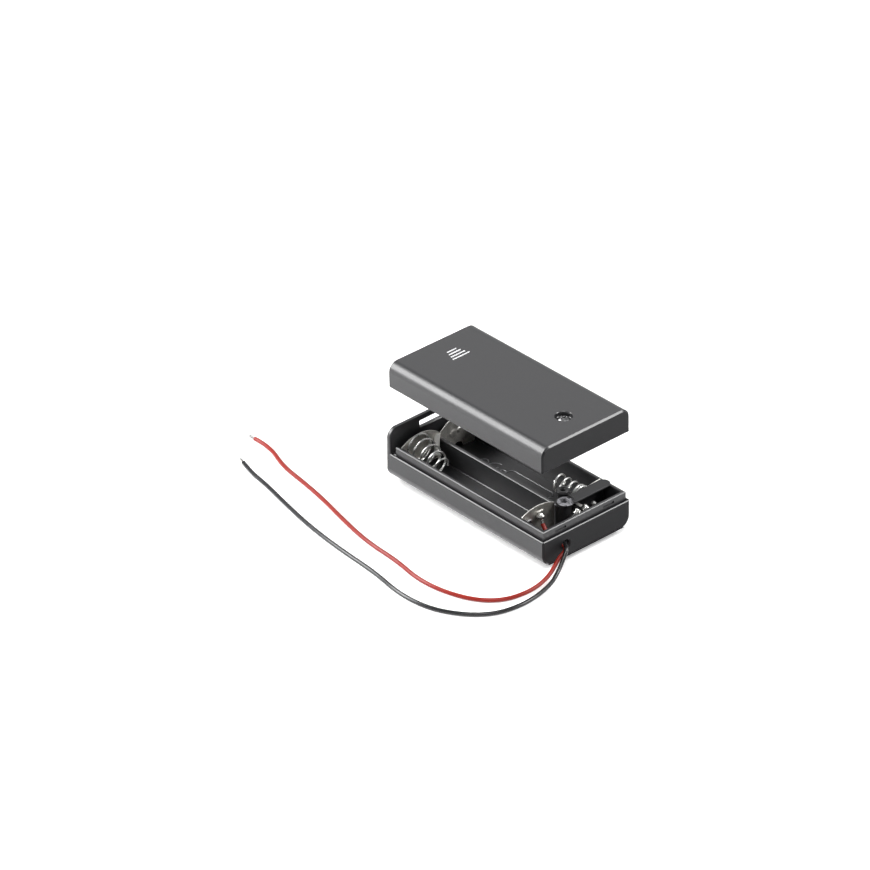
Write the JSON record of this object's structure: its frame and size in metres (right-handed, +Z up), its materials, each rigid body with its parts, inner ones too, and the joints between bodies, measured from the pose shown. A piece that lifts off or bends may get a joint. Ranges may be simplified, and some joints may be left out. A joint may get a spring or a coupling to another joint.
{
  "type": "cylindrical cell holder",
  "caption": "Enclosed holder for cylindrical cells with a screw-fastened lift-off cover, an underside slide switch, plated spring contacts and red and black leads with bare ends",
  "frame": {"origin": "centre of the case's footprint, on the plane of the switch knob's tip, 1.6 mm below the case's underside", "axes": "+X along the case towards the end with the leads, +Y towards the side of the case away from the lead hole, +Z up out of the open tray"},
  "size_m": [0.1252, 0.0728, 0.0423],
  "materials": {
    "black_case": "fine satin moulded black plastic",
    "black_strip": "satin black plastic strip",
    "switch_plastic": "smooth black plastic",
    "switch_board": "dark laminate",
    "screw_steel": "plated steel screw",
    "nickel_plate": "nickel-plated sheet",
    "spring_wire": "bright nickel-plated spring wire",
    "red_jacket": "smooth red insulation",
    "black_jacket": "smooth black insulation",
    "tinned_copper": "tinned wire end",
    "solder": "bright solder"
  },
  "bodies": {
    "tray": {"base_tray": "black_case", "rear_link_contact": "nickel_plate", "rear_spring": "spring_wire", "front_positive_contact": "nickel_plate", "front_negative_contact": "nickel_plate", "front_spring": "spring_wire", "retainer_strip": "black_strip", "switch_housing": "switch_plastic", "switch_board": "switch_board", "switch_pin_off": "nickel_plate", "switch_pin_common": "nickel_plate", "switch_pin_on": "nickel_plate", "red_lead_inside": "red_jacket", "black_lead_inside": "black_jacket", "red_lead": "red_jacket", "black_lead": "black_jacket", "red_lead_tip": "tinned_copper", "black_lead_tip": "tinned_copper", "positive_solder": "solder", "lead_solder": "solder", "tail_solder": "solder"},
    "cover": {"cover": "black_case"},
    "screw": {"cover_screw": "screw_steel"},
    "slider": {"switch_slider": "switch_plastic", "switch_wiper": "nickel_plate"}
  },
  "joints": [
    {"name": "cover_lift", "type": "slide", "parent": "tray", "child": "cover", "axis": [0, 0, 1], "range_m": [-0.02336, 0]},
    {"name": "screw_turn", "type": "hinge", "parent": "cover", "child": "screw", "pos_m": [0.0246, 0, 0.04], "axis": [0, 0, 1], "continuous": true},
    {"name": "switch_slide", "type": "slide", "parent": "tray", "child": "slider", "axis": [0, 1, 0], "range_m": [-0.0034, 0]}
  ]
}
